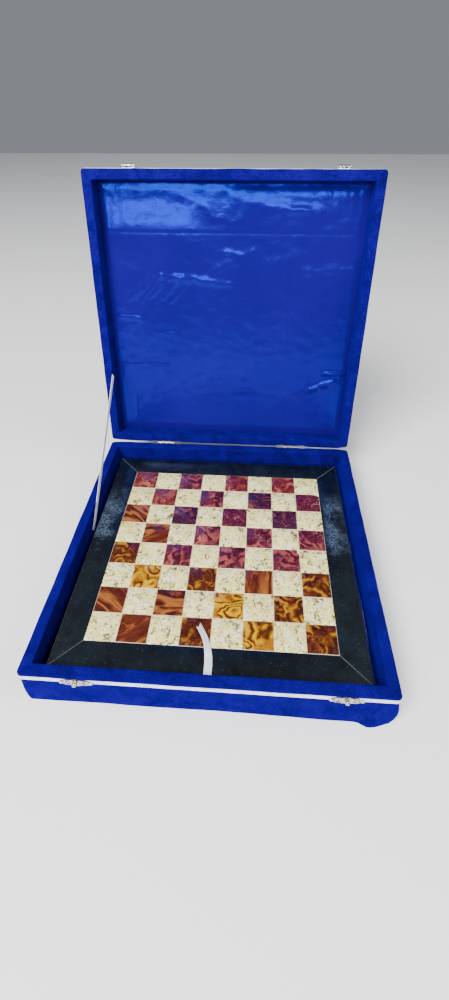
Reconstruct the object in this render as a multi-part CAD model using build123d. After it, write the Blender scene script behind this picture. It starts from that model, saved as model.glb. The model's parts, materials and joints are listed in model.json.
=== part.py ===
from build123d import *
from math import cos, degrees, radians, sin
import os

# A marble chess board in its velvet presentation case, lid open, millimetres.
# Frame: origin under the middle of the tray, +X to the right, +Y to the hinges, +Z up.
# The lid and its hasps are drawn closed and then turned back to the open pose.

# Chess board
square_side = 31.2
squares_per_side = 8
border_width = 27.6
tile_thickness = 5.0
slab_thickness = 7.0
tile_joint = 0.15
tile_arris = 0.25
border_arris = 0.6
felt_diameter = 20.0
felt_thickness = 1.2
felt_inset = 26.0
board_below_rim = 14.0
board_side_gap = 7.6
board_front_gap = 4.6
board_back_gap = 10.6

# Case carcass
tray_height = 48.0
lid_recess = 18.0
rim_gap = 0.6
wall_thickness = 9.0
panel_thickness = 4.0
velvet = 1.0
corner_radius = 6.0
rim_radius = 2.2
mouth_radius = 0.9
base_radius = 3.0
lid_top_radius = 3.0
inner_corner_radius = 1.5
lid_open_angle = 100.6

# Linings
base_cloth_margin = 15.0
floor_lining = 1.0
pad_cover = 0.8
pad_clearance = 1.0
lining_card = 1.2
satin_thickness = 1.4
lining_clearance = 0.6
crease_from_hinge = 0.762
crease_depth = 0.7
crease_width = 3.0

# Ribbons
ribbon_width = 7.5
ribbon_thickness = 0.5
ribbon_clearance = 0.05
trim_below_rim = 1.5
lift_tuck = 28.0
lift_straight = 14.0
lift_bend_radius = 56.0
lift_bend_angle = 41.0
lift_tip_slant = 4.0
stay_tray_from_hinge = 152.1
stay_tray_below_rim = 24.0
stay_lid_from_hinge = 100.0
stay_lid_depth = 9.0

# Hinges
hinge_from_side = 80.0
hinge_length = 24.0
hinge_knuckles = 5
knuckle_radius = 1.7
hinge_pin_radius = 0.8
hinge_axis_offset = 2.1
leaf_height = 12.0
leaf_thickness = 0.8
leaf_clearance = 0.3
knuckle_end_play = 0.15
pin_running_fit = 0.06
hinge_nail_pitch = 8.0
hinge_nail_from_edge = 7.2

# Latches
left_latch_from_side = 54.5
right_latch_from_side = 47.2
plate_length = 31.5
plate_height = 11.0
plate_thickness = 0.9
plate_below_rim = 0.6
plate_nail_inset = 1.9
hasp_plate_length = 17.0
hasp_plate_height = 9.0
hasp_plate_corner = 2.4
boss_radius = 4.2
boss_top_radius = 2.9
boss_height = 0.5
knob_below_rim = 4.0
knob_radius = 2.4
knob_neck_radius = 1.5
knob_stand_off = 2.2
hasp_axis_above_rim = 2.2
hasp_axis_stand_off = 2.35
hasp_barrel_radius = 1.45
hasp_pin_radius = 0.65
hasp_barrel_length = 6.0
hasp_lug_length = 4.0
hasp_lug_lap = 3.3
hasp_thickness = 1.0
eye_radius = 3.6
eye_ring_width = 2.0

# Scrolls of a catch plate, mirrored about its middle
end_lobe_radius = 1.45
outer_lobe = (11.8, 3.2, 2.75)
inner_lobe = (7.2, 5.4, 4.3)
middle_lobe = (0.0, 7.9, 5.5)
leaf_hole_x = 7.2
leaf_hole_y = 1.9
leaf_hole_length = 3.9
leaf_hole_width = 1.7
leaf_hole_tilt = 28.0
round_hole_x = 11.0
round_hole_radius = 0.7

# Nails
nail_head_radius = 1.1
nail_shank_radius = 0.5
nail_length = 6.0
nail_hole_depth = 3.6

# Sizes worked out from the ones above
board_side = square_side * squares_per_side + 2 * border_width
tray_rim_z = tray_height
board_top_z = tray_rim_z - board_below_rim
tile_bottom_z = board_top_z - tile_thickness
slab_bottom_z = tile_bottom_z - slab_thickness
felt_bottom_z = slab_bottom_z - felt_thickness
board_y = (board_front_gap - board_back_gap) / 2
board_front_y = board_y - board_side / 2
side_build = wall_thickness + 2 * velvet
inner_width = board_side + 2 * board_side_gap
inner_depth = board_side + board_front_gap + board_back_gap
case_width = inner_width + 2 * side_build
case_depth = inner_depth + 2 * side_build
core_width = case_width - 2 * velvet
core_depth = case_depth - 2 * velvet
floor_z = velvet + panel_thickness
lining_top_z = floor_z + floor_lining
lid_rim_z = tray_rim_z + rim_gap
lining_stack = lining_card + satin_thickness
lid_panel_z = lid_rim_z + lid_recess + lining_stack
lid_top_z = lid_panel_z + panel_thickness + velvet
hinge_y = case_depth / 2 + hinge_axis_offset
hinge_z = tray_rim_z + rim_gap / 2
front_face_y = -case_depth / 2
trim_front_y = front_face_y - ribbon_thickness
hinge_axis = Axis((0, hinge_y, hinge_z), (1, 0, 0))


def block(width, depth, low_z, high_z, y=0.0):
    """A box centred on x = 0 and on y, between two heights."""
    return Pos(0, y, (low_z + high_z) / 2) * Box(width, depth, high_z - low_z)


def upright_edges(solid):
    """The vertical edges of a box."""
    return solid.edges().filter_by(Axis.Z)


def rounded_block(width, depth, low_z, high_z, radius, y=0.0):
    """A box with rounded upright corners."""
    solid = block(width, depth, low_z, high_z, y)
    return fillet(upright_edges(solid), radius)


def edges_at(solid, z):
    """The edges that lie wholly at one height."""
    return solid.edges().filter_by_position(Axis.Z, z - 0.001, z + 0.001)


def rod(length, radius, at, axis):
    """A round bar along X or Y, centred on a point."""
    turn = Rot(0, 90, 0) if axis == "x" else Rot(90, 0, 0)
    return Pos(*at) * turn * Cylinder(radius, length)


def opened(solid):
    """Turn a piece of the closed lid back to the open pose."""
    return solid.rotate(hinge_axis, -lid_open_angle)


def carcass_walls(low_z, high_z):
    """Four wall boards: front and back run full width, the sides fit between them."""
    walls = {}
    wall_y = core_depth / 2 - wall_thickness / 2
    wall_x = core_width / 2 - wall_thickness / 2
    for name, sign in (("front", -1), ("back", 1)):
        board = block(core_width, wall_thickness, low_z, high_z, sign * wall_y)
        outer = upright_edges(board).sort_by(Axis.Y)
        corners = outer[:2] if sign < 0 else outer[-2:]
        walls[name] = fillet(corners, corner_radius - velvet)
    side_length = core_depth - 2 * wall_thickness
    for name, sign in (("left", -1), ("right", 1)):
        middle_z = (low_z + high_z) / 2
        board = Box(wall_thickness, side_length, high_z - low_z)
        walls[name] = Pos(sign * wall_x, 0, middle_z) * board
    return walls


def carcass_panel(low_z, high_z):
    """The outer form of the boards between two heights."""
    return rounded_block(core_width, core_depth, low_z, high_z, corner_radius - velvet)


def velvet_wrap(rim_z, far_z, far_radius, cavity_z):
    """Velvet outside the boards, over the rim and down the inside of the walls."""
    low_z, high_z = sorted((rim_z, far_z))
    outer = rounded_block(case_width, case_depth, low_z, high_z, corner_radius)
    outer = fillet(edges_at(outer, rim_z), rim_radius)
    outer = fillet(edges_at(outer, far_z), far_radius)
    cavity_low, cavity_high = sorted((rim_z, cavity_z))
    cavity = rounded_block(inner_width, inner_depth, cavity_low, cavity_high, inner_corner_radius)
    core_low = low_z + velvet
    core_high = high_z - velvet
    inside = block(inner_width + 2 * velvet, inner_depth + 2 * velvet, core_low, core_high)
    skin = outer - (carcass_panel(core_low, core_high) - inside) - cavity
    mouth = [e for e in edges_at(skin, rim_z) if inner_edge(e)]
    return fillet(mouth, mouth_radius)


def inner_edge(edge):
    """True for an edge that runs round the mouth of the case."""
    centre = edge.center()
    return abs(centre.X) <= inner_width / 2 + 0.01 and abs(centre.Y) <= inner_depth / 2 + 0.01


def trim_band(low_z, high_z):
    """Ribbon glued round the front and the two sides, just below a rim."""
    outer_width = case_width + 2 * ribbon_thickness
    outer_depth = case_depth + 2 * ribbon_thickness
    outer = rounded_block(outer_width, outer_depth, low_z, high_z, corner_radius + ribbon_thickness)
    inner = rounded_block(case_width, case_depth, low_z, high_z, corner_radius)
    open_back = block(outer_width, case_depth, low_z, high_z, case_depth - corner_radius)
    return outer - inner - open_back


def tray_parts():
    """The tray's boards, velvet, linings and trim."""
    walls = carcass_walls(floor_z, tray_rim_z - velvet)
    parts = {f"tray_{side}_wall": board for side, board in walls.items()}
    parts["tray_bottom_panel"] = carcass_panel(velvet, floor_z)
    cloth_width = case_width - 2 * base_cloth_margin
    cloth_depth = case_depth - 2 * base_cloth_margin
    cloth = rounded_block(cloth_width, cloth_depth, 0, velvet, corner_radius)
    parts["tray_base_cloth"] = cloth
    wrap = velvet_wrap(tray_rim_z, 0, base_radius, lining_top_z)
    floor_space = block(inner_width + 2 * velvet, inner_depth + 2 * velvet, velvet, lining_top_z)
    parts["tray_velvet"] = wrap - floor_space - cloth
    lining = block(inner_width + 2 * velvet, inner_depth + 2 * velvet, floor_z, lining_top_z)
    parts["tray_floor_lining"] = lining
    trim_top = tray_rim_z - trim_below_rim
    parts["tray_trim_ribbon"] = trim_band(trim_top - ribbon_width, trim_top)
    return parts


def pad_parts():
    """The foam that the board lies on, and the cloth over it."""
    pad_width = inner_width - 2 * pad_clearance
    pad_depth = inner_depth - 2 * pad_clearance
    foam_width = pad_width - 2 * pad_cover
    foam_depth = pad_depth - 2 * pad_cover
    foam_top = felt_bottom_z - pad_cover
    foam = rounded_block(foam_width, foam_depth, lining_top_z, foam_top, inner_corner_radius)
    whole = rounded_block(pad_width, pad_depth, lining_top_z, felt_bottom_z,
                          inner_corner_radius + pad_cover)
    whole = fillet(edges_at(whole, felt_bottom_z), pad_cover)
    return {"pad_foam": foam, "pad_cover": whole - foam}


def square_tile(column, row):
    """One stone square, eased along its top edges."""
    side = square_side - tile_joint
    x = (column - (squares_per_side - 1) / 2) * square_side
    y = (row - (squares_per_side - 1) / 2) * square_side + board_y
    tile = Pos(x, y, (tile_bottom_z + board_top_z) / 2) * Box(side, side, tile_thickness)
    return chamfer(edges_at(tile, board_top_z), tile_arris)


def border_strip(turn):
    """One mitred border strip, drawn at the front and turned about the board's middle."""
    outer = board_side / 2
    inner = square_side * squares_per_side / 2
    gap = tile_joint / 2
    outline = Polyline((-outer + gap, -outer), (outer - gap, -outer),
                       (inner - gap, -inner - tile_joint), (-inner + gap, -inner - tile_joint),
                       close=True)
    strip = extrude(Plane.XY * make_face(outline), tile_thickness)
    top = edges_at(strip, tile_thickness).sort_by(Axis.Y)
    strip = chamfer(top[0], border_arris)
    return Pos(0, board_y, tile_bottom_z) * Rot(0, 0, turn) * strip


def board_parts():
    """The stone board that lifts out of the tray."""
    cells = [(c, r) for c in range(squares_per_side) for r in range(squares_per_side)]
    light = [square_tile(c, r) for c, r in cells if (c + r) % 2 == 0]
    dark = [square_tile(c, r) for c, r in cells if (c + r) % 2 == 1]
    parts = {"light_squares": Compound(light), "dark_squares": Compound(dark)}
    for name, turn in (("front", 0), ("right", 90), ("back", 180), ("left", 270)):
        parts[f"{name}_border"] = border_strip(turn)
    slab = block(board_side, board_side, slab_bottom_z, tile_bottom_z, board_y)
    parts["board_slab"] = chamfer(edges_at(slab, slab_bottom_z), border_arris)
    reach = board_side / 2 - felt_inset
    felt = Pos(0, board_y, (felt_bottom_z + slab_bottom_z) / 2)
    disc = felt * Cylinder(felt_diameter / 2, felt_thickness)
    spots = [(x * reach, y * reach) for x in (-1, 1) for y in (-1, 1)]
    parts["board_felt_pads"] = Compound([Pos(x, y, 0) * disc for x, y in spots])
    parts["lift_ribbon"] = lift_ribbon()
    return parts


def lift_ribbon():
    """The pull ribbon: glued under the slab, up the front edge, back over the border."""
    near_y = board_front_y - ribbon_clearance
    far_y = near_y - ribbon_thickness
    low_z = slab_bottom_z - ribbon_clearance - ribbon_thickness
    high_z = board_top_z + ribbon_clearance + ribbon_thickness
    under_y = board_front_y + lift_tuck
    hook = Pos(0, (far_y + under_y) / 2, (low_z + high_z) / 2)
    hook = hook * Box(ribbon_width, under_y - far_y, high_z - low_z)
    hook = fillet(hook.edges().filter_by(Axis.X).group_by(Axis.Y)[0], ribbon_thickness)
    middle = (near_y + under_y) / 2 + ribbon_thickness
    inside = Pos(0, middle, (low_z + high_z) / 2)
    inside = inside * Box(ribbon_width, under_y - near_y + 2 * ribbon_thickness,
                          high_z - low_z - 2 * ribbon_thickness)
    over_y = board_front_y + lift_straight
    tail = Pos(0, (over_y + under_y) / 2, high_z)
    tail = tail * Box(ribbon_width, under_y - over_y, 2 * ribbon_thickness)
    return hook - inside - tail + lift_ribbon_tail(over_y, high_z)


def lift_ribbon_tail(start_y, top_z):
    """The loose end that curves to the left over the squares, with a slanted cut."""
    half = ribbon_width / 2
    inner = lift_bend_radius - half
    outer = lift_bend_radius + half
    reach = lift_bend_angle + degrees(lift_tip_slant / outer)
    with BuildSketch() as band:
        with BuildLine():
            inner_arc = CenterArc((-lift_bend_radius, start_y), inner, 0, lift_bend_angle)
            outer_arc = CenterArc((-lift_bend_radius, start_y), outer, 0, reach)
            Line(inner_arc @ 0, outer_arc @ 0)
            Line(inner_arc @ 1, outer_arc @ 1)
        make_face()
    tail = extrude(band.sketch, ribbon_thickness)
    return Pos(0, 0, top_z - ribbon_thickness) * tail


def stay_ribbon():
    """The flat ribbon that stops the lid, stuck to the left inner walls."""
    half_width = inner_width / 2
    tray_end = Vector(0, hinge_y - stay_tray_from_hinge, tray_rim_z - stay_tray_below_rim)
    closed_y = hinge_y - hinge_axis_offset - stay_lid_from_hinge
    closed = Vector(0, closed_y - hinge_y, lid_rim_z + stay_lid_depth - hinge_z)
    turn = radians(-lid_open_angle)
    lid_end = Vector(0, hinge_y + closed.Y * cos(turn) - closed.Z * sin(turn),
                     hinge_z + closed.Y * sin(turn) + closed.Z * cos(turn))
    span = lid_end - tray_end
    middle = tray_end + span * 0.5
    x = -half_width + ribbon_thickness / 2
    lie = Plane(origin=(x, middle.Y, middle.Z), x_dir=span.normalized(), z_dir=(1, 0, 0))
    return lie * Box(span.length, ribbon_width, ribbon_thickness)


def satin_sheet(low_z, high_z, width, depth):
    """The lid's lining cloth with the crease that it was folded along."""
    sheet = rounded_block(width, depth, low_z, high_z, inner_corner_radius)
    crease_y = inner_depth / 2 - crease_from_hinge * inner_depth
    outline = Polyline((crease_y - crease_width / 2, low_z), (crease_y, low_z + crease_depth),
                       (crease_y + crease_width / 2, low_z), close=True)
    groove = extrude(Plane.YZ * make_face(outline), width, both=True)
    return sheet - groove


def lid_parts():
    """The lid, drawn closed over the tray."""
    walls = carcass_walls(lid_rim_z + velvet, lid_panel_z)
    parts = {f"lid_{side}_wall": board for side, board in walls.items()}
    panel_top = lid_panel_z + panel_thickness
    parts["lid_top_panel"] = carcass_panel(lid_panel_z, panel_top)
    wrap = velvet_wrap(lid_rim_z, lid_top_z, lid_top_radius, lid_panel_z)
    parts["lid_velvet"] = wrap - carcass_panel(lid_panel_z, panel_top)
    width = inner_width - 2 * lining_clearance
    depth = inner_depth - 2 * lining_clearance
    card_z = lid_panel_z - lining_card
    parts["lid_lining_card"] = rounded_block(width, depth, card_z, lid_panel_z, inner_corner_radius)
    parts["lid_satin_lining"] = satin_sheet(card_z - satin_thickness, card_z, width, depth)
    trim_low = lid_rim_z + trim_below_rim
    parts["lid_trim_ribbon"] = trim_band(trim_low, trim_low + ribbon_width)
    return parts


def knuckle_spans(length, count, end_play):
    """Start and end of each knuckle along the pin, with play between them."""
    pitch = length / count
    starts = [-length / 2 + pitch * i for i in range(count)]
    return [(s + end_play / 2, s + pitch - end_play / 2) for s in starts]


def leaf_knuckle(span, bore, side):
    """One rolled knuckle of a hinge leaf with its tab; side is -1 for tray, 1 for lid."""
    low, high = span
    at = ((low + high) / 2, hinge_y, hinge_z)
    barrel = rod(high - low, knuckle_radius, at, "x")
    tab_height = knuckle_radius + leaf_clearance
    tab_y = case_depth / 2 + leaf_thickness / 2
    tab = Pos(at[0], tab_y, hinge_z + side * tab_height / 2)
    tab = tab * Box(high - low, leaf_thickness, tab_height)
    return barrel + tab - rod(high - low, bore, at, "x")


def hinge_leaf(side):
    """One leaf of a butt hinge against the back face; side is -1 for tray, 1 for lid."""
    spans = knuckle_spans(hinge_length, hinge_knuckles, knuckle_end_play)
    own = spans[0::2] if side < 0 else spans[1::2]
    bore = hinge_pin_radius if side < 0 else hinge_pin_radius + pin_running_fit
    near = hinge_z + side * (knuckle_radius + leaf_clearance)
    far = near + side * leaf_height
    low_z, high_z = sorted((near, far))
    leaf_y = case_depth / 2 + leaf_thickness / 2
    leaf = block(hinge_length, leaf_thickness, low_z, high_z, leaf_y)
    far_corners = leaf.edges().filter_by(Axis.Y).sort_by(Axis.Z)
    far_corners = far_corners[:2] if side < 0 else far_corners[-2:]
    leaf = fillet(far_corners, knuckle_radius)
    for span in own:
        leaf = leaf + leaf_knuckle(span, bore, side)
    for x, y, z in hinge_nail_points(side):
        leaf = leaf - rod(nail_hole_depth, nail_shank_radius, (x, y, z), "y")
    return leaf


def hinge_nail_points(side):
    """Where the nails of one leaf go: a row of three."""
    z = hinge_z + side * (knuckle_radius + leaf_clearance + hinge_nail_from_edge)
    y = case_depth / 2 + leaf_thickness
    return [(x, y, z) for x in (-hinge_nail_pitch, 0, hinge_nail_pitch)]


def nail(at, outward):
    """A dome-headed nail; outward is -1 when the head faces the front, 1 for the back."""
    x, y, z = at
    shank_y = y - outward * nail_length / 2
    shank = rod(nail_length, nail_shank_radius, (x, shank_y, z), "y")
    ball = Pos(x, y, z) * Sphere(nail_head_radius)
    side = 2 * nail_head_radius
    outer_half = Pos(x, y + outward * nail_head_radius, z) * Box(side, side, side)
    return shank + (ball & outer_half)


def hinge_parts():
    """Two butt hinges: leaves, pins and nails."""
    tray_leaf = hinge_leaf(-1)
    lid_leaf = hinge_leaf(1)
    pin = rod(hinge_length, hinge_pin_radius, (0, hinge_y, hinge_z), "x")
    tray = {}
    lid = {}
    hinge_x = case_width / 2 - hinge_from_side
    for name, sign in (("left", -1), ("right", 1)):
        tray[f"{name}_hinge_tray_leaf"] = Pos(sign * hinge_x, 0, 0) * tray_leaf
        tray[f"{name}_hinge_pin"] = Pos(sign * hinge_x, 0, 0) * pin
        lid[f"{name}_hinge_lid_leaf"] = Pos(sign * hinge_x, 0, 0) * lid_leaf
    for body, side, node in ((tray, -1, "tray_hinge_nails"), (lid, 1, "lid_hinge_nails")):
        nails = []
        for sign in (-1, 1):
            for x, y, z in hinge_nail_points(side):
                nails.append(nail((x + sign * hinge_x, y, z), 1))
        body[node] = Compound(nails)
    return tray, lid


def plate_outline():
    """The scrolled outline of a catch plate, lying in XY about its middle."""
    end_x = plate_length / 2 - end_lobe_radius
    with BuildSketch() as face:
        for x, half_length, half_height in (middle_lobe, inner_lobe, outer_lobe):
            for sign in (-1, 1):
                with Locations((sign * x, 0)):
                    Ellipse(half_length, half_height)
        for sign in (-1, 1):
            with Locations((sign * end_x, 0)):
                Circle(end_lobe_radius)
    return face.sketch


def plate_piercings():
    """The cut-outs of a catch plate: two pairs of leaf-shaped holes and two rounds."""
    with BuildSketch() as cuts:
        for sign in (-1, 1):
            for lift in (-1, 1):
                tilt = (0, 0, sign * lift * leaf_hole_tilt)
                with Locations(Location((sign * leaf_hole_x, lift * leaf_hole_y, 0), tilt)):
                    Ellipse(leaf_hole_length / 2, leaf_hole_width / 2)
            with Locations((sign * round_hole_x, 0)):
                Circle(round_hole_radius)
    return cuts.sketch


def plate_nail_points(length, plate_z):
    """One nail near each end of a plate."""
    reach = length / 2 - plate_nail_inset
    y = trim_front_y - plate_thickness
    return [(-reach, y, plate_z), (reach, y, plate_z)]


def front_plate(outline, length, plate_z):
    """A flat plate standing on the trim ribbon, with its nail holes."""
    stand = Plane(origin=(0, trim_front_y, plate_z), x_dir=(1, 0, 0), z_dir=(0, -1, 0))
    plate = stand * extrude(outline, plate_thickness)
    for x, y, z in plate_nail_points(length, plate_z):
        plate = plate - rod(nail_hole_depth, nail_shank_radius, (x, y, z), "y")
    return plate


def catch_plate(plate_z):
    """The tray's pierced and scrolled plate, with a raised middle."""
    plate = front_plate(plate_outline() - plate_piercings(), plate_length, plate_z)
    face = Plane(origin=(0, trim_front_y - plate_thickness, plate_z), x_dir=(1, 0, 0),
                 z_dir=(0, -1, 0))
    standing = (Align.CENTER, Align.CENTER, Align.MIN)
    return plate + face * Cone(boss_radius, boss_top_radius, boss_height, align=standing)


def catch_knob(knob_z):
    """The ball that the hasp's eye drops over, on a short waisted neck."""
    back_y = trim_front_y - plate_thickness - boss_height
    ball_y = trim_front_y - plate_thickness - knob_stand_off
    neck = rod(back_y - ball_y, knob_neck_radius, (0, (back_y + ball_y) / 2, knob_z), "y")
    ball = Pos(0, ball_y, knob_z) * Sphere(knob_radius)
    front_side = Pos(0, back_y - boss_radius, knob_z)
    keep = front_side * Box(2 * boss_radius, 2 * boss_radius, 2 * boss_radius)
    return (neck + ball) & keep


def hasp_axis_point():
    """Where a hasp's pin lies on the closed lid."""
    return 0.0, trim_front_y - hasp_axis_stand_off, lid_rim_z + hasp_axis_above_rim


def hasp_plate_height_z():
    """The middle of the closed lid's hasp plate, just clear of the hasp's barrel."""
    return hasp_axis_point()[2] + hasp_barrel_radius + leaf_clearance + hasp_plate_height / 2


def hasp_plate():
    """The lid's plate with two lugs that hold the hasp's pin."""
    x, y, z = hasp_axis_point()
    plate_z = hasp_plate_height_z()
    with BuildSketch() as outline:
        RectangleRounded(hasp_plate_length, hasp_plate_height, hasp_plate_corner)
    plate = front_plate(outline.sketch, hasp_plate_length, plate_z)
    lug_length = hasp_lug_length - knuckle_end_play
    tab_top = plate_z - hasp_plate_height / 2 + hasp_lug_lap
    tab = Box(lug_length, plate_thickness, tab_top - z)
    web_depth = hasp_axis_stand_off - plate_thickness
    web = Box(lug_length, web_depth, hasp_barrel_radius)
    for sign in (-1, 1):
        lug_x = sign * (hasp_barrel_length + hasp_lug_length) / 2
        plate = plate + rod(lug_length, hasp_barrel_radius, (lug_x, y, z), "x")
        plate = plate + Pos(lug_x, trim_front_y - plate_thickness / 2, (tab_top + z) / 2) * tab
        plate = plate + Pos(lug_x, y + web_depth / 2, z + hasp_barrel_radius / 2) * web
    return plate - rod(plate_length, hasp_pin_radius, (0, y, z), "x")


def hasp_tongue():
    """The swinging hasp, drawn folded up against the lid: barrel, strap and round eye."""
    x, y, z = hasp_axis_point()
    drop = z - (tray_rim_z - knob_below_rim)
    barrel = rod(hasp_barrel_length - knuckle_end_play, hasp_barrel_radius, (0, y, z), "x")
    ring_radius = eye_radius + eye_ring_width
    strap = Box(hasp_barrel_length - knuckle_end_play, hasp_thickness, drop)
    strap = Pos(0, y, z + drop / 2) * strap
    ring = rod(hasp_thickness, ring_radius, (0, y, z + drop), "y")
    eye = rod(2 * hasp_thickness, eye_radius, (0, y, z + drop), "y")
    tip = Pos(0, y, z + drop + ring_radius) * Sphere(hasp_thickness)
    bore = rod(plate_length, hasp_pin_radius + pin_running_fit, (0, y, z), "x")
    return barrel + (strap + ring - eye) + tip - bore


def latch_parts():
    """Two hasp latches: catch plates and knobs below, hasps above."""
    catch_z = tray_rim_z - plate_below_rim - plate_height / 2
    _, axis_y, axis_z = hasp_axis_point()
    pin_length = hasp_barrel_length + 2 * hasp_lug_length
    pin = rod(pin_length, hasp_pin_radius, (0, axis_y, axis_z), "x")
    knob = catch_knob(tray_rim_z - knob_below_rim)
    shapes = {"catch_plate": catch_plate(catch_z), "catch_knob": knob}
    lid_shapes = {"hasp_plate": hasp_plate(), "hasp_pin": pin}
    tray, lid, hasps = {}, {}, {}
    places = {"left": left_latch_from_side - case_width / 2,
              "right": case_width / 2 - right_latch_from_side}
    for side, latch_x in places.items():
        for name, shape in shapes.items():
            tray[f"{side}_{name}"] = Pos(latch_x, 0, 0) * shape
        for name, shape in lid_shapes.items():
            lid[f"{side}_{name}"] = Pos(latch_x, 0, 0) * shape
        hasps[f"{side}_hasp"] = Pos(latch_x, 0, 0) * hasp_tongue()
    for body, length, z, node in ((tray, plate_length, catch_z, "catch_nails"),
                                  (lid, hasp_plate_length, hasp_plate_height_z(), "hasp_nails")):
        points = plate_nail_points(length, z)
        spots = [(px + latch_x, py, pz) for latch_x in places.values() for px, py, pz in points]
        body[node] = Compound([nail(spot, -1) for spot in spots])
    return tray, lid, hasps


def build_all():
    """Every sub-part at the open rest pose."""
    parts = tray_parts()
    parts.update(pad_parts())
    parts.update(board_parts())
    parts["stay_ribbon"] = stay_ribbon()
    tray_hinges, lid_hinges = hinge_parts()
    tray_latches, lid_latches, hasps = latch_parts()
    parts.update(tray_hinges)
    parts.update(tray_latches)
    closed = lid_parts()
    closed.update(lid_hinges)
    closed.update(lid_latches)
    closed.update(hasps)
    for name, solid in closed.items():
        parts[name] = opened(solid)
    return parts


os.makedirs("parts", exist_ok=True)
for node, solid in build_all().items():
    export_step(solid, f"parts/{node}.step")
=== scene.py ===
# %% [markdown]
# # A marble chess board in its velvet case
# The case stands open on a pale floor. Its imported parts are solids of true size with
# working joints, so they are loaded first and never moved. Cloth, ribbons and stone are then
# modelled over them by hand tools, because they need softer and finer shapes than a solid
# has. Each new piece rides on its own body and moves with it.

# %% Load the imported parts
import json
import math
import random

import bpy
from mathutils import Matrix, Vector, noise


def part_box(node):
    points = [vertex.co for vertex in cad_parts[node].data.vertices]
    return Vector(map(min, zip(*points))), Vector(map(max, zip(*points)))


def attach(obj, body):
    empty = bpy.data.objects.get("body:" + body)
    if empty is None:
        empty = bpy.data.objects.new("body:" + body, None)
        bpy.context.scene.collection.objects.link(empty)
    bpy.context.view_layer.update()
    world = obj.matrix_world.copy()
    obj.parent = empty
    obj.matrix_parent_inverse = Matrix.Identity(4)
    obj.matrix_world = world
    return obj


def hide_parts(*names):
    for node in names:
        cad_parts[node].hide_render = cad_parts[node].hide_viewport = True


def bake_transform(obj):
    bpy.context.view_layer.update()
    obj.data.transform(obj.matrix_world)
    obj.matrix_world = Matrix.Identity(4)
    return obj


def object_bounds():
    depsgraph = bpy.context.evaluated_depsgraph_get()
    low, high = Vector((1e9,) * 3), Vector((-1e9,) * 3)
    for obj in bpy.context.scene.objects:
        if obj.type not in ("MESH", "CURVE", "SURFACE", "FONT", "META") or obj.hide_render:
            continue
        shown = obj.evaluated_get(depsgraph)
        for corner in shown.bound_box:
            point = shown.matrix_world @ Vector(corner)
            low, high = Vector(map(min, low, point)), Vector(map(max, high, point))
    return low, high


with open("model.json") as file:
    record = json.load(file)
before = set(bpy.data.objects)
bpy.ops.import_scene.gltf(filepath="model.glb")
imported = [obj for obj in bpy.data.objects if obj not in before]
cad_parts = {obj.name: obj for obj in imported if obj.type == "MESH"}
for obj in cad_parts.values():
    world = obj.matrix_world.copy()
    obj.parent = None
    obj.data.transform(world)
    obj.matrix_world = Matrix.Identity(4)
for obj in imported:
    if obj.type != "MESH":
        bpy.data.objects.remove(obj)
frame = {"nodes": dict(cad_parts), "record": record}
cad_low, cad_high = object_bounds()
nodes = frame["nodes"]
mm = 0.001


def show(name, data):
    """Put data into the scene as an object."""
    obj = bpy.data.objects.new(name, data)
    bpy.context.scene.collection.objects.link(obj)
    return obj


print("loaded", len(nodes), "parts")

# %% [markdown]
# ## Camera
# The photograph was taken from above and in front of the case with a wide phone lens.
# The lens and the place were worked out from the corners of the board, the tray and the
# lid, which is surer than turning a camera by eye.

# %% Camera
camera_data = bpy.data.cameras.new("camera")
camera_data.sensor_fit = "VERTICAL"
camera_data.sensor_height = 36.0
camera_data.lens = 16.60
camera_data.shift_y = -0.0505
camera_data.clip_start = 0.01
camera = show("camera", camera_data)
camera.location = (0.03123, -0.35449, 0.46331)
camera_axes = Matrix(((0.99784, 0.06551, -0.00479),
                      (-0.03726, 0.62467, 0.78000),
                      (0.05409, -0.77813, 0.62577)))
camera.rotation_euler = camera_axes.transposed().to_euler()
bpy.context.scene.camera = camera
print("camera turned", [round(math.degrees(a), 2) for a in camera.rotation_euler])

# %% [markdown]
# ## Measures that the soft pieces share with the solids
# The velvet, the linings and the ribbons follow the solids that they dress, so their sizes
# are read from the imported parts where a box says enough, and written here where it doesn't.

# %% Shared measures
tray_low, tray_high = (Vector(corner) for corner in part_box("tray_velvet"))
case_side = tray_high.x - tray_low.x
tray_rim = tray_high.z
wall_build = 11 * mm
cloth_thickness = 1 * mm
rim_gap = 0.6 * mm
lid_depth = 26.2 * mm
hinge_axis_y = 173.1 * mm
hinge_axis_z = 48.3 * mm
lid_angle = math.radians(-100.6)
lid_turn = (Matrix.Translation((0, hinge_axis_y, hinge_axis_z))
            @ Matrix.Rotation(lid_angle, 4, "X")
            @ Matrix.Translation((0, -hinge_axis_y, -hinge_axis_z)))
print("case side", round(case_side / mm, 1), "mm, rim at", round(tray_rim / mm, 1), "mm")

# %% [markdown]
# ## Tools for starting and choosing
# Each helper does what a hand does in edit mode: start from a block and choose its parts by
# where they lie, because numbers in a list change with each edit.

# %% Choosing helpers
def done():
    """Leave edit mode."""
    bpy.ops.object.mode_set(mode="OBJECT")


def clear_selection():
    """Nothing is selected after this."""
    if bpy.context.object and bpy.context.object.mode != "OBJECT":
        done()
    bpy.ops.object.select_all(action="DESELECT")


def choose(obj):
    """Make one object the active and only selected one."""
    clear_selection()
    bpy.context.view_layer.objects.active = obj
    obj.select_set(True)


def settle(obj):
    """Put the place and the size into the mesh."""
    choose(obj)
    bpy.ops.object.transform_apply(location=True, rotation=True, scale=True)


def block(name, low, high):
    """A block between two corners."""
    clear_selection()
    low, high = Vector(low), Vector(high)
    bpy.ops.mesh.primitive_cube_add(size=1, location=(low + high) / 2)
    obj = bpy.context.object
    obj.name = name
    obj.data.name = name
    obj.scale = high - low
    settle(obj)
    return obj


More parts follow.
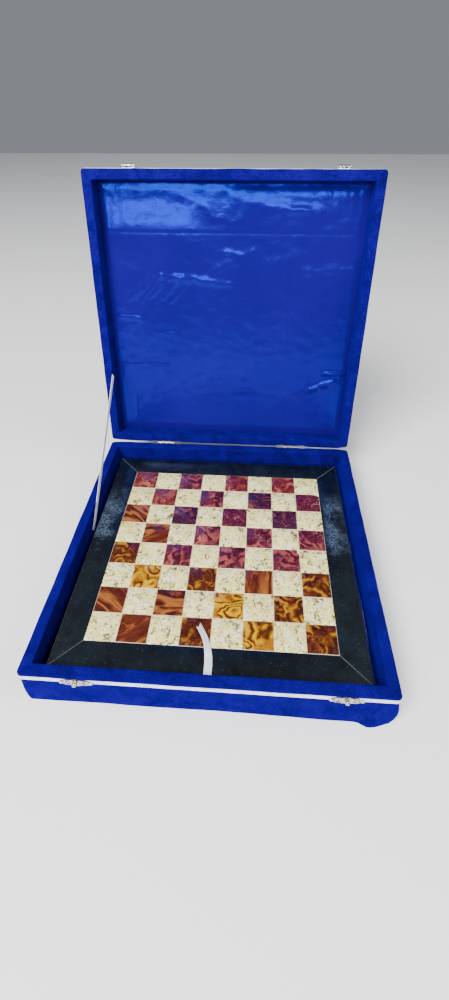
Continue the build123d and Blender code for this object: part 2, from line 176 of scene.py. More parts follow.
def edit_all(obj):
    """Enter edit mode with everything selected."""
    choose(obj)
    bpy.ops.object.mode_set(mode="EDIT")
    bpy.ops.mesh.select_all(action="SELECT")


def pick(obj, kind, test):
    """Select in edit mode the edges or the faces whose corners all pass a test."""
    edit_all(obj)
    bpy.ops.mesh.select_mode(type=kind)
    bpy.ops.mesh.select_all(action="DESELECT")
    done()
    points = obj.data.vertices
    for item in obj.data.edges if kind == "EDGE" else obj.data.polygons:
        item.select = test([points[i].co for i in item.vertices])
    bpy.ops.object.mode_set(mode="EDIT")


def at_height(level):
    """A test that passes when all the corners lie at one height."""
    return lambda corners: all(abs(p.z - level) < touching for p in corners)


def upright(corners):
    """Whether an edge runs up rather than along."""
    return abs(corners[0].z - corners[1].z) > mm


touching = 1e-6
print("choosing helpers ready")

# %% [markdown]
# ## Tools for shaping
# Edges are rounded by a bevel, faces cut by planes and points moved by soft noise. Cloth is
# cut into a grid first, because noise can only move points that are there.

# %% Shaping helpers
def round_edges(obj, radius, segments, test):
    """Round the edges whose ends both pass a test."""
    pick(obj, "EDGE", test)
    bpy.ops.mesh.bevel(offset=radius, segments=segments, affect="EDGES", clamp_overlap=True)
    done()


def delete_faces(obj, test):
    """Delete the faces whose corners all pass a test."""
    pick(obj, "FACE", test)
    bpy.ops.mesh.delete(type="FACE")
    done()


def cut(obj, planes):
    """Cut the whole mesh by planes, each given as a point on it and its normal."""
    edit_all(obj)
    for point, normal in planes:
        bpy.ops.mesh.select_all(action="SELECT")
        bpy.ops.mesh.bisect(plane_co=point, plane_no=normal)
    done()


def slice_along(obj, axis, places):
    """Cut the whole mesh by planes square to an axis."""
    normal = Vector([float(i == axis) for i in range(3)])
    cut(obj, [(normal * place, normal) for place in places])


def steps(low, high, pitch):
    """Evenly spaced places between two ends, ends left out."""
    count = max(1, round((high - low) / pitch))
    return [low + (high - low) * i / count for i in range(1, count)]


def slice_grid(obj, low, high, pitch):
    """Cut the mesh across X and across Y at an even pitch between two corners."""
    for axis in (0, 1):
        slice_along(obj, axis, steps(low[axis], high[axis], pitch))


def merge(obj, gap=0.05 * mm):
    """Join points that lie closer than a gap."""
    edit_all(obj)
    bpy.ops.mesh.remove_doubles(threshold=gap)
    done()


def apply(obj, kind, **settings):
    """Add a modifier and apply it at once."""
    choose(obj)
    modifier = obj.modifiers.new(kind.lower(), kind)
    for key, value in settings.items():
        setattr(modifier, key, value)
    bpy.ops.object.modifier_apply(modifier=modifier.name)


def shade(obj, angle=35):
    """Smooth shading that keeps edges sharper than an angle."""
    choose(obj)
    bpy.ops.object.shade_smooth_by_angle(angle=math.radians(angle))


def ripple(obj, height, size, seed):
    """Move every point along its normal by soft noise, as cloth on board wavers."""
    shift = Vector((seed, seed * 0.7, -seed))
    normals = [v.normal.copy() for v in obj.data.vertices]
    for v, normal in zip(obj.data.vertices, normals):
        v.co += normal * height * noise.noise(v.co / size + shift)
    obj.data.update()


def share_between(low, high, value):
    """0 before low, 1 past high and a smooth slope between."""
    share = min(1.0, max(0.0, (value - low) / (high - low)))
    return share * share * (3 - 2 * share)


print("shaping helpers ready")

# %% [markdown]
# ## Node helpers
# Every material is built from procedural nodes on object coordinates, in metres, so a
# pattern's scale is one over its real size and needs no picture. Colours are sRGB hex and
# are turned to the linear values that nodes want. Where a MapRange gets a list, it is the
# value, the range that it comes from and the range that it goes to.

# %% Node helpers
def linear(code):
    """An sRGB hex colour as linear RGBA."""
    parts = [int(code[i:i + 2], 16) / 255 for i in (1, 3, 5)]
    return tuple(c / 12.92 if c <= 0.04045 else ((c + 0.055) / 1.055) ** 2.4
                 for c in parts) + (1.0,)


def wire(tree, item, links):
    """Fill inputs by name or number, or in order from a list. Each gets a value, an output
    or a node, which stands for its first output."""
    for key, value in links.items() if isinstance(links, dict) else enumerate(links):
        if isinstance(value, bpy.types.Node):
            value = value.outputs[0]
        if isinstance(value, bpy.types.NodeSocket):
            tree.links.new(value, item.inputs[key])
        else:
            item.inputs[key].default_value = value


def add(tree, kind, links=(), stops=(), **settings):
    """Add a node with its settings, its inputs and, on a colour ramp, its stops."""
    item = tree.nodes.new("ShaderNode" + kind)
    for key, value in settings.items():
        setattr(item, key, value)
    wire(tree, item, links)
    if stops:
        ramp = item.color_ramp.elements
        while len(ramp) < len(stops):
            ramp.new(0.5)
        for element, (position, colour) in zip(ramp, stops):
            element.position = position
            element.color = linear(colour)
    return item


def material(name):
    """An empty material with its shader and its object coordinates."""
    made = bpy.data.materials.new(name)
    made.use_nodes = True
    tree = made.node_tree
    shader = tree.nodes["Principled BSDF"]
    where = add(tree, "TexCoord").outputs["Object"]
    return made, tree, shader, where


def dress(obj, *finishes):
    """Give an object its finishes in place of what it had."""
    obj.data.materials.clear()
    for finish in finishes:
        obj.data.materials.append(finish)


print("node helpers ready")

# %% [markdown]
# ## Velvet
# Cotton velvet glued over board: a short upright pile that is deep blue where one looks into
# it and brighter where light catches the tips. Hair strands would be true but heavy, so the
# pile is a fine bump with a sheen at grazing angles, and the nap lies in soft patches.

# %% Velvet material
def make_velvet():
    """Cotton velvet, dyed royal blue; the pile is drawn at 1 mm so that it shows."""
    made, tree, shader, where = material("cotton_velvet_royal_blue")
    nap = add(tree, "TexNoise", {"Vector": where, "Scale": 46.0, "Detail": 4.0,
                                 "Roughness": 0.6, "Distortion": 0.8})
    pile = add(tree, "TexNoise", {"Vector": where, "Scale": 1000.0, "Detail": 3.0})
    both = add(tree, "Mix", {0: 0.64, 2: nap, 3: pile})
    tone = add(tree, "ValToRGB", {"Fac": both},
               stops=[(0.34, "#09003A"), (0.50, "#12005E"), (0.66, "#1A0080")])
    bump = add(tree, "Bump", {"Height": both, "Strength": 0.55, "Distance": 0.0008})
    wire(tree, shader, {"Base Color": tone, "Roughness": 0.9, "Specular IOR Level": 0.0,
                        "Sheen Weight": 0.3, "Sheen Roughness": 0.35,
                        "Sheen Tint": linear("#2000D8"), "Normal": bump})
    return made


velvet = make_velvet()
print("made", velvet.name)

# %% [markdown]
# ## Satin, ribbon and plain cloth
# The lid is lined with polyester satin: long yarn floats give a glossy face whose
# highlights stay blue, so the gloss is tinted. The ribbons are woven with fine ribs across
# their width. The plain cloths, felt, card and foam differ only in colour and grain, so one
# function makes them all.

# %% Cloth materials
def make_satin():
    """Polyester satin: bright royal blue, glossy, drawn a little along its threads."""
    made, tree, shader, where = material("polyester_satin_royal_blue")
    cloud = add(tree, "TexNoise", {"Vector": where, "Scale": 9.0, "Detail": 3.0})
    tone = add(tree, "ValToRGB", {"Fac": cloud}, stops=[(0.3, "#16005C"), (0.7, "#1C006A")])
    stretch = add(tree, "Mapping", {"Vector": where, "Scale": (1.0, 0.12, 0.12)})
    thread = add(tree, "TexNoise", {"Vector": stretch, "Scale": 420.0, "Detail": 2.0})
    pucker = add(tree, "TexNoise", {"Vector": where, "Scale": 75.0, "Detail": 5.0,
                                    "Roughness": 0.55, "Distortion": 0.6})
    fine = add(tree, "Bump", {"Height": thread, "Strength": 0.10, "Distance": 0.0004})
    bump = add(tree, "Bump", {"Height": pucker, "Strength": 0.22, "Distance": 0.002,
                              "Normal": fine})
    wire(tree, shader, {"Base Color": tone, "Roughness": 0.21, "Specular IOR Level": 1.0,
                        "Specular Tint": linear("#0650FF"), "Normal": bump})
    return made


def make_ribbon():
    """White polyester ribbon, slightly blue, with faint dust; ribs drawn at 0.9 mm."""
    made, tree, shader, where = material("polyester_ribbon_white")
    dust = add(tree, "TexNoise", {"Vector": where, "Scale": 120.0, "Detail": 4.0})
    tone = add(tree, "ValToRGB", {"Fac": dust}, stops=[(0.30, "#C9CEE4"), (0.60, "#F2F4FF")])
    ribs = add(tree, "TexNoise", {"Vector": where, "Scale": 1100.0, "Detail": 1.0})
    bump = add(tree, "Bump", {"Height": ribs, "Strength": 0.3, "Distance": 0.0003})
    wire(tree, shader, {"Base Color": tone, "Roughness": 0.45, "Sheen Weight": 0.25,
                        "Normal": bump})
    return made


def make_plain(name, low, high, grain, rough):
    """A matt cloth, felt, card or board with a grain of its own size in millimetres."""
    made, tree, shader, where = material(name)
    weave = add(tree, "TexNoise", {"Vector": where, "Scale": 1000.0 / grain, "Detail": 3.0})
    tone = add(tree, "ValToRGB", {"Fac": weave}, stops=[(0.32, low), (0.68, high)])
    bump = add(tree, "Bump", {"Height": weave, "Strength": 0.4, "Distance": grain * 0.0004})
    wire(tree, shader, {"Base Color": tone, "Roughness": rough, "Normal": bump})
    return made


satin = make_satin()
ribbon_cloth = make_ribbon()
cotton = make_plain("cotton_cloth_navy", "#04006E", "#0A0596", 1.0, 0.9)
felt = make_plain("wool_felt_green", "#12402A", "#1F5A3C", 1.4, 0.95)
card = make_plain("grey_lining_card", "#7C766C", "#928C80", 2.0, 0.9)
fibreboard = make_plain("raw_fibreboard", "#7A5A3C", "#96734F", 1.5, 0.85)
foam = make_plain("polyether_foam_cream", "#CFC9B4", "#E2DCC8", 1.2, 0.95)
print("made", satin.name, ribbon_cloth.name, cotton.name)

# %% [markdown]
# ## Stone patterns
# The squares are cut and polished stone set in resin. Each tile comes from another part of
# the block, so each carries its own place and turn in the pattern as an attribute, which
# the materials read instead of object coordinates. So no two tiles look alike.

# %% Stone helpers
def tile_place(tree):
    """The pattern's own place on each tile, in metres."""
    return add(tree, "Attribute", attribute_name="stone_place").outputs["Vector"]


def swirl(tree, place, scale, depth):
    """Coordinates pushed about by a slow noise, as stone that flowed while it set."""
    push = add(tree, "TexNoise", {"Vector": place, "Scale": scale, "Detail": 3.0})
    centred = add(tree, "VectorMath", [push.outputs["Color"], (0.5, 0.5, 0.5)],
                  operation="SUBTRACT")
    far = add(tree, "VectorMath", {0: centred, "Scale": depth}, operation="SCALE")
    return add(tree, "VectorMath", [place, far], operation="ADD")


def line_mask(tree, height, level, width):
    """Thin lines where a noise passes through a level, full in the middle, none at width."""
    away = add(tree, "Math", [height, level], operation="SUBTRACT")
    size = add(tree, "Math", [away], operation="ABSOLUTE")
    return add(tree, "MapRange", [size, 0.0, width, 1.0, 0.0])


print("stone patterns ready")

# %% [markdown]
# ## Onyx
# Onyx forms in layers, so a sawn face shows bands round a clouded body, cut by hair veins.
# A wave texture makes bands too, but evenly; here a sine runs over a slow noise that is
# pushed about twice, so the bands close on themselves as agate's do.

# %% Onyx
def onyx(name, body, bands, vein, share, turns=9.0, streak=1.0):
    """Multicolour onyx: clouded body, patches of bands 1 to 3 mm wide, hair veins."""
    made, tree, shader, _ = material(name)
    place = tile_place(tree)
    drawn = add(tree, "Mapping", {"Vector": place, "Scale": (1.0, streak, 1.0)})
    flow = swirl(tree, drawn, 48.0, 0.018)
    curls = swirl(tree, flow, 210.0, 0.003)
    slow = add(tree, "TexNoise", {"Vector": curls, "Scale": 30.0, "Detail": 2.0,
                                  "Roughness": 0.4})
    wave = add(tree, "Math", [slow, turns * 2 * math.pi], operation="MULTIPLY")
    rings = add(tree, "Math", [wave], operation="SINE")
    grain = add(tree, "TexNoise", {"Vector": curls, "Scale": 330.0, "Detail": 3.0})
    across = add(tree, "MapRange", [rings, -1.0, 1.0, 0.2, 0.8])
    cloud = add(tree, "TexNoise", {"Vector": flow, "Scale": 85.0, "Detail": 6.0,
                                   "Roughness": 0.62})
    mist = add(tree, "Mix", {0: 0.5, 2: grain, 3: cloud})
    rough_band = add(tree, "Mix", {0: 0.45, 2: across, 3: mist})
    banded = add(tree, "ValToRGB", {"Fac": rough_band}, stops=bands)
    plain = add(tree, "ValToRGB", {"Fac": mist}, stops=[(0.40, body[0]), (0.58, body[1])])
    area = add(tree, "TexNoise", {"Vector": curls, "Scale": 34.0, "Detail": 3.0})
    level = 0.66 - 0.32 * share
    inside = add(tree, "MapRange", [area, level - 0.05, level + 0.05])
    both = add(tree, "Mix", {0: inside, 6: plain, 7: banded}, data_type="RGBA")
    hair = add(tree, "TexNoise", {"Vector": flow, "Scale": 70.0, "Detail": 4.0})
    hairs = line_mask(tree, hair, 0.5, 0.018)
    patchy = add(tree, "MapRange", [cloud, 0.42, 0.60, 0.0, 0.75])
    veins = add(tree, "Math", [hairs, patchy], operation="MULTIPLY")
    mixed = add(tree, "Mix", {0: veins, 6: both.outputs[2], 7: linear(vein)}, data_type="RGBA")
    rough = add(tree, "MapRange", [grain, 0.0, 1.0, 0.16, 0.34])
    wire(tree, shader, {"Base Color": mixed.outputs[2], "Roughness": rough, "IOR": 1.5})
    return made


print("onyx ready")

# %% [markdown]
# ## Limestone
# The cream squares are limestone full of broken shells. Lines through the middle of a noise
# wander as the shells' edges do; fine ones make flecks all over and wider ones make a few
# dark curls, kept to some spots by a third noise.

# %% Limestone
def limestone():
    """Cream fossil limestone: fine olive flecks, darker shell curls, ochre stains."""
    made, tree, shader, _ = material("fossil_limestone_cream")
    place = tile_place(tree)
    ground = add(tree, "TexNoise", {"Vector": place, "Scale": 120.0, "Detail": 4.0})
    base = add(tree, "ValToRGB", {"Fac": ground},
               stops=[(0.36, "#F0E088"), (0.50, "#FFF2A4"), (0.64, "#FFFCCC")])
    bent = swirl(tree, place, 300.0, 0.004)
    flake = add(tree, "TexNoise", {"Vector": bent, "Scale": 430.0, "Detail": 1.0})
    lines = line_mask(tree, flake, 0.5, 0.09)
    where_thick = add(tree, "TexNoise", {"Vector": place, "Scale": 240.0, "Detail": 1.0})
    thick = add(tree, "MapRange", [where_thick, 0.42, 0.56, 0.30, 1.0])
    flecks = add(tree, "Math", [lines, thick], operation="MULTIPLY")
    dull = add(tree, "Mix", {0: flecks, 6: base, 7: linear("#5E5628")}, data_type="RGBA")
    curl = swirl(tree, place, 170.0, 0.012)
    shells = add(tree, "TexNoise", {"Vector": curl, "Scale": 120.0, "Detail": 1.0})
    ribs = line_mask(tree, shells, 0.5, 0.062)
    spots = add(tree, "TexNoise", {"Vector": place, "Scale": 95.0, "Detail": 1.0})
    keep = add(tree, "MapRange", [spots, 0.52, 0.55])
    marks = add(tree, "Math", [ribs, keep], operation="MULTIPLY")
    dark = add(tree, "Mix", {0: marks, 6: dull.outputs[2], 7: linear("#262212")},
               data_type="RGBA")
    stain = add(tree, "TexNoise", {"Vector": place, "Scale": 60.0, "Detail": 3.0})
    warm = add(tree, "MapRange", [stain, 0.60, 0.78, 0.0, 0.75])
    final = add(tree, "Mix", {0: warm, 6: dark.outputs[2], 7: linear("#DCC468")},
                data_type="RGBA")
    wire(tree, shader, {"Base Color": final.outputs[2], "Roughness": 0.28, "IOR": 1.5})
    return made


print("limestone ready")

# %% [markdown]
# ## Black marble
# The border is one stone all round, so it reads object coordinates. It is nearly black with
# specks of dust. A pale blue-grey haze lies on the two side strips, a little behind their
# middle, so the haze is masked by place and then broken up by noise.

# %% Black marble
haze_from_middle = 124 * mm
haze_centre = 34 * mm


def black_marble():
    """Polished black marble: faint blue-green clouds, dust, a pale haze on the sides, dull
    smears.
    """
    made, tree, shader, where = material("black_marble_polished")
    cloud = add(tree, "TexNoise", {"Vector": where, "Scale": 30.0, "Detail": 6.0,
                                   "Roughness": 0.6})
    base = add(tree, "ValToRGB", {"Fac": cloud}, stops=[(0.36, "#05080D"), (0.68, "#0F1820")])
    grit = add(tree, "TexNoise", {"Vector": where, "Scale": 750.0, "Detail": 2.0})
    dots = add(tree, "MapRange", [grit, 0.66, 0.78, 0.0, 0.4])
    apart = add(tree, "SeparateXYZ", {"Vector": where})
    side = add(tree, "Math", [apart.outputs["X"]], operation="ABSOLUTE")
    strip_share = add(tree, "MapRange", [side, haze_from_middle, haze_from_middle + 8 * mm])
    lane = add(tree, "Math", [apart.outputs["Y"], haze_centre], operation="SUBTRACT")
    lane_far = add(tree, "Math", [lane], operation="ABSOLUTE")
    lane_share = add(tree, "MapRange", [lane_far, 30 * mm, 62 * mm, 1.0, 0.0])
    blot = add(tree, "TexNoise", {"Vector": where, "Scale": 26.0, "Detail": 7.0,
                                  "Roughness": 0.72})
    blots = add(tree, "MapRange", [blot, 0.46, 0.60, 0.0, 0.65])
    on_side = add(tree, "Math", [strip_share, lane_share], operation="MULTIPLY")
    haze = add(tree, "Math", [on_side, blots], operation="MULTIPLY")
    speckled = add(tree, "MapRange", [grit, 0.40, 0.60])
    speckled_haze = add(tree, "Math", [haze, speckled], operation="MULTIPLY")
    dust_and_haze = add(tree, "Math", [dots, speckled_haze], operation="MAXIMUM")
    hazed_base = add(tree, "Mix", {0: dust_and_haze, 6: base, 7: linear("#5C6E88")}, data_type="RGBA")
    smear = add(tree, "TexNoise", {"Vector": where, "Scale": 45.0, "Detail": 6.0,
                                   "Roughness": 0.65})
    rough = add(tree, "MapRange", [smear, 0.3, 0.7, 0.16, 0.36])
    wire(tree, shader, {"Base Color": hazed_base.outputs[2], "Roughness": rough, "IOR": 1.5})
    return made


print("black marble ready")

# %% [markdown]
# ## Stone colours
# Six onyx colourings cover the dark squares: rose along the far edge, plum and violet
# towards the middle, brick on the left, chestnut and amber at the front.

# %% Stone colours
# Pale grey filler for the border's mitres, also painted on its outer rim's eased edge as a
# highlight.
mitre_filler_and_rim_highlight = make_plain("marble_dust_filler_and_rim_highlight_grey", "#5A6266", "#7C8486", 1.0, 0.7)
joint_resin = make_plain("resin_joint_pale", "#C9B8A0", "#E8DCC4", 0.8, 0.5)
chip_resin = make_plain("resin_corner_cream", "#E4DAB0", "#F8F0CE", 1.2, 0.4)
backing = make_plain("sawn_marble_backing", "#23282C", "#30363A", 1.6, 0.7)
lime = limestone()
marble = black_marble()
# For each: its body's colours, its bands, its veins' colour and the share that is banded.
recipes = {
    "plum": (("#380E1C", "#5C1E30"),
             [(0.36, "#3A0C1A"), (0.50, "#62202C"), (0.62, "#8A443C")], "#B88072", 0.42),
    "violet": (("#240C1E", "#421630"),
               [(0.38, "#2A0C1C"), (0.52, "#4C1A2A"), (0.64, "#743C34")], "#84524E", 0.35),
    "rose": (("#461018", "#6C2826"),
             [(0.36, "#48121A"), (0.50, "#722E28"), (0.62, "#965040")], "#B07458", 0.45),
    "brick": (("#3E1206", "#5C2410"),
              [(0.36, "#36100A"), (0.50, "#682E12"), (0.62, "#8C5426")], "#98582C", 0.6),
    "chestnut": (("#300C06", "#54200C"),
                 [(0.34, "#2C0C06"), (0.46, "#5A2808"), (0.56, "#7C4606"),
                  (0.66, "#A4740A")], "#A07020", 0.52),
    "amber": (("#7C4402", "#A87200"),
              [(0.33, "#421A02"), (0.43, "#7E4A02"), (0.54, "#A87600"),
               (0.68, "#C89A06")], "#4E2404", 0.70),
}
# Brick's bands are drawn out along one way, and amber has more of them than the rest.
extras = {"brick": {"streak": 0.3}, "amber": {"turns": 11.0}}
stones = {kind: onyx("onyx_" + kind + "_polished", *recipe, **extras.get(kind, {}))
          for kind, recipe in recipes.items()}
print("made", len(stones), "kinds of onyx,", lime.name, marble.name)

# %% [markdown]
# ## Metal
# The latches are pressed steel with a thin warm nickel plate, dull in the hollows. The
# hinges are plain steel, wiped with oil, and the nails are bright nickel. Where the plate
# is worn it is both darker and rougher, so one noise drives colour and gloss together.

# %% Metal materials
def make_metal(name, low, high, rough_low, rough_high, grain):
    """Metal whose colour and gloss vary over a grain size in millimetres."""
    made, tree, shader, where = material(name)
    wear = add(tree, "TexNoise", {"Vector": where, "Scale": 1000.0 / grain, "Detail": 4.0})
    tone = add(tree, "ValToRGB", {"Fac": wear}, stops=[(0.35, low), (0.62, high)])
    rough = add(tree, "MapRange", [wear, 0.3, 0.7, rough_high, rough_low])
    bump = add(tree, "Bump", {"Height": wear, "Strength": 0.25, "Distance": 0.0002})
    wire(tree, shader, {"Base Color": tone, "Metallic": 1.0, "Roughness": rough,
                        "Normal": bump})
    return made


nickel = make_metal("nickel_plated_pressed_steel", "#5E5C54", "#E4E0D6", 0.12, 0.34, 1.8)
bright_nickel = make_metal("nickel_plated_nail", "#B8B4A6", "#ECEAE2", 0.15, 0.3, 1.5)
steel = make_metal("plain_steel_wiped", "#918F89", "#A9A7A0", 0.32, 0.45, 4.0)
plain_finishes = {
    "fibreboard": fibreboard, "foam": foam, "green_felt": felt, "grey_card": card,
    "blue_cotton": cotton, "nickel_nails": bright_nickel, "nickel_latch": nickel,
    "steel_hinge": steel, "marble_backing": backing,
}
for part in frame["record"]["subparts"]:
    if part["material_slot"] in plain_finishes:
        dress(nodes[part["node"]], plain_finishes[part["material_slot"]])
print("dressed", len(plain_finishes), "kinds of packed part")

# %% [markdown]
# ## Ribbons
# A ribbon is a flat strip that keeps its width and bends only across its face. Its line is
# a smooth NURBS curve; the strip is laid along points read from that curve.

# %% Ribbon helpers
ribbon_width = 7.5 * mm
ribbon_thickness = 0.5 * mm
# Where points lie across a ribbon; the close outer pairs keep its edges crisp.
ribbon_lanes = (-0.5, -0.47, -0.25, 0.0, 0.25, 0.47, 0.5)


def smooth_line(route):
    """Points along the NURBS curve whose control points are the route."""
    data = bpy.data.curves.new("route", "CURVE")
    data.dimensions = "3D"
    data.resolution_u = 12
    spline = data.splines.new("NURBS")
    spline.points.add(len(route) - 1)
    for point, place in zip(spline.points, route):
        point.co = (*place, 1)
    spline.order_u = 3
    spline.use_endpoint_u = True
    guide = show("route", data)
    mesh = bpy.data.meshes.new_from_object(guide)
    line = [v.co.copy() for v in mesh.vertices]
    bpy.data.objects.remove(guide)
    bpy.data.meshes.remove(mesh)
    return line


def strip(name, line, across, end_cut=0.0):
    """A flat ribbon along a line; across gives the direction of its width at a point.
    The last row can be drawn out at one edge, as a ribbon's end that is cut slanting."""
    verts, faces = [], []
    for i, place in enumerate(line):
        ahead = line[min(i + 1, len(line) - 1)] - line[max(i - 1, 0)]
        side = across(i / (len(line) - 1), ahead.normalized()).normalized()
        up = side.cross(ahead).normalized()
        slant = end_cut * (i == len(line) - 1)
        for lane in ribbon_lanes:
            at = place + side * lane * ribbon_width + ahead.normalized() * slant * lane
            verts += [at + up * ribbon_thickness / 2, at - up * ribbon_thickness / 2]
    row = 2 * len(ribbon_lanes)
    last = len(verts) - row
    for left in range(0, last, row):
        right = left + row - 2
        for a in range(left, right, 2):
            b = a + row
            faces += [(a, a + 2, b + 2, b), (a + 1, b + 1, b + 3, a + 3)]
        faces += [(left, left + row, left + row + 1, left + 1),
                  (right, right + 1, right + row + 1, right + row)]
    faces += [(a, a + 1, a + 3, a + 2) for a in range(0, row - 2, 2)]
    faces += [(a, a + 2, a + 3, a + 1) for a in range(last, last + row - 2, 2)]
    data = bpy.data.meshes.new(name)
    data.from_pydata(verts, [], faces)
    obj = show(name, data)
    edit_all(obj)
    bpy.ops.mesh.normals_make_consistent(inside=False)
    done()
    dress(obj, ribbon_cloth)
    shade(obj)
    return obj


def line_length(line):
    """The length of a line of points."""
    return sum((b - a).length for a, b in zip(line, line[1:]))


print("ribbon helpers ready")

# %% [markdown]
# ## Stay ribbon
# This ribbon stops the lid from falling back. It is stuck low on the left wall of the tray
# and high on the left wall of the lid, and it is pulled tight between the two. Its two ends
# ride on different bodies, so it is laid as it lies with the lid open and is left on neither.

# %% Stay ribbon
stay_x = -159.7 * mm
stay_route = [(stay_x, y * mm, z * mm) for y, z in (
    (21.0, 24.0), (62.0, 52.8), (108.0, 85.6), (152.0, 117.4), (193.0, 146.5))]
stay_line = smooth_line(stay_route)


def stay_across(_, ahead):
    """The width lies in the plane of the wall."""
    return Vector((1, 0, 0)).cross(ahead)


stay = strip("stay_ribbon_woven", stay_line, stay_across)
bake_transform(stay)
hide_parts("stay_ribbon")
print("stay ribbon", round(line_length(stay_line) / mm, 1), "mm")

# %% [markdown]
# ## Pull ribbon
# A loose ribbon glued under the board comes up its front edge and lies back over the
# squares, curving to the left. Pulling it lifts the board out of the tray.

# %% Pull ribbon
pull_route = [(0.0, -127.4, 21.7), (0.0, -142.0, 21.7), (0.0, -154.0, 21.6),
              (0.0, -155.9, 24.5), (0.0, -155.9, 31.0), (0.0, -155.0, 34.6),
              (0.1, -149.5, 34.5), (0.0, -142.0, 34.7), (-1.4, -131.0, 36.0),
              (-4.6, -121.0, 37.2), (-8.7, -113.4, 37.2), (-12.6, -107.2, 36.9)]
pull_line = smooth_line([Vector(p) * mm for p in pull_route])


def pull_across(share, ahead):
    """The width lies along X under the board; on top it turns with the run and rolls a
    little, so that the left edge stands up towards the free end."""
    if share < 0.45 or ahead.y < 0.3:
        return Vector((1, 0, 0))
    level = Vector((ahead.y, -ahead.x, 0)).normalized()
    roll = math.radians(36) * min(1.0, max(0.0, (share - 0.58) / 0.22))
    return level * math.cos(roll) - Vector((0, 0, 1)) * math.sin(roll)


pull = strip("pull_ribbon_woven", pull_line, pull_across, end_cut=7 * mm)
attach(pull, "board")
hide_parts("lift_ribbon")
print("pull ribbon", round(line_length(pull_line) / mm, 1), "mm")

# %% [markdown]
# ## Slack in the velvet
# Glued velvet isn't tight everywhere. It swells along the hinge side between the hinges and
# bags forward low on the tray's front. Both are modelled by moving points by smooth shares
# of a range, because sculpting by hand couldn't be repeated.

# %% Slack in the velvet
hinge_from_middle = 91 * mm


def swell_hinge_side(obj, rim_z, half):
    """The velvet stands proud along the hinge side of a rim, except where a hinge lies."""
    for point in obj.data.vertices:
        place = point.co
        outer = share_between(half - 2.5 * mm, half - 0.6 * mm, place.y)
        near_rim = 1 - share_between(3 * mm, 10 * mm, abs(place.z - rim_z))
        hinge = share_between(17 * mm, 22 * mm, abs(abs(place.x) - hinge_from_middle))
        corner = 1 - share_between(half - 14 * mm, half - 4 * mm, abs(place.x))
        full = 1.25 * mm + 2.5 * place.x * mm
        place.y += full * outer * near_rim * hinge * corner


def sag_front(obj, half):
    """Low on the front the velvet is slack: it bags forward, most at the right corner."""
    def at_side(reach):
        return share_between(half - 13 * mm, half - 1 * mm, reach)

    for point in obj.data.vertices:
        place = point.co
        low = 1 - share_between(2 * mm, 26 * mm, place.z)
        front, right, left = at_side(-place.y), at_side(place.x), at_side(-place.x)
        lobe = share_between(138 * mm, 148 * mm, place.x)
        corner = 1 - share_between(150 * mm, half + 3 * mm, place.x)
        forward = (0.6 + 1.4 * share_between(0, 0.14, place.x) + 3.6 * lobe) * mm * corner
        belly = (share_between(-4 * mm, 14 * mm, place.z)
                 * (1 - share_between(16 * mm, 40 * mm, place.z)))
        near = 1 - share_between(6 * mm, 50 * mm, place.y + half)
        place.y -= forward * low * front
        place.x += (3.8 * right - 1.6 * left) * mm * belly * near


print("slack helpers ready")

# %% [markdown]
# ## Velvet covers
# The tray and the lid are boxes of board wrapped in velvet outside, over the rim and down
# the inside. Each cover starts as a block, is hollowed by an inset and an extrude, rounded,
# sliced into a fine grid and then wavered a little. A sheet draped by a simulation would be
# looser than cloth that is glued, so the cover keeps the box's shape.

# %% Velvet covers
cloth_pitch = 7 * mm
# The grid is closer at the slack right corner, so that its bag comes out round.
corner_cuts = [140 * mm, 147 * mm, 154 * mm, 161 * mm]


def rim_edge(obj, level, reach, radius, segments):
    """Round the loop of edges that runs at one level and one distance from the middle."""
    def on_loop(corners):
        middle = (corners[0] + corners[1]) / 2
        far = max(abs(middle.x), abs(middle.y))
        return at_height(level)(corners) and reach - 4.5 * mm < far < reach + 0.01 * mm
    round_edges(obj, radius, segments, on_loop)


def velvet_cover(name, rim_z, far_z, cavity_floor, far_margin, seed):
    """A box cover open at its rim; the margin is the turning glued on the far side."""
    low_z, high_z = sorted((rim_z, far_z))
    half = case_side / 2
    inner = half - wall_build
    obj = block(name, (-half, -half, low_z), (half, half, high_z))
    pick(obj, "FACE", at_height(rim_z))
    bpy.ops.mesh.inset(thickness=wall_build, depth=0)
    bpy.ops.mesh.extrude_region_move(
        TRANSFORM_OT_translate={"value": (0, 0, cavity_floor - rim_z)})
    bpy.ops.mesh.delete(type="FACE")
    done()
    round_edges(obj, 4 * mm, 5, lambda c: upright(c) and abs(c[0].x) > half - mm)
    round_edges(obj, 1 * mm, 2, lambda c: upright(c) and abs(c[0].x) < inner + mm)
    rim_edge(obj, rim_z, half, 1.3 * mm, 3)
    rim_edge(obj, rim_z, inner, 1.8 * mm, 3)
    rim_edge(obj, far_z, half, 1.2 * mm if far_margin else 3 * mm, 4)
    slice_grid(obj, (-half, -half), (half, half), cloth_pitch)
    slice_along(obj, 2, steps(low_z, high_z, cloth_pitch))
    if far_margin:
        slice_along(obj, 0, corner_cuts)
        delete_faces(obj, lambda c: at_height(far_z)(c) and all(
            max(abs(p.x), abs(p.y)) < half - far_margin for p in c))
    merge(obj)
    ripple(obj, 0.45 * mm, 26 * mm, seed)
    swell_hinge_side(obj, rim_z, half)
    if far_margin:
        sag_front(obj, half)
    for point in obj.data.vertices:
        point.co.z = min(max(point.co.z, low_z), high_z + 0.3 * mm)
    apply(obj, "SOLIDIFY", thickness=cloth_thickness, offset=-1)
    shade(obj, 50)
    dress(obj, velvet)
    return obj


tray_cover = velvet_cover("tray_velvet_cover", tray_rim, 0.0, cavity_floor=6 * mm,
                          far_margin=13 * mm, seed=3.1)
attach(tray_cover, "tray")
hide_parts("tray_velvet")
print("tray cover", len(tray_cover.data.polygons), "faces")

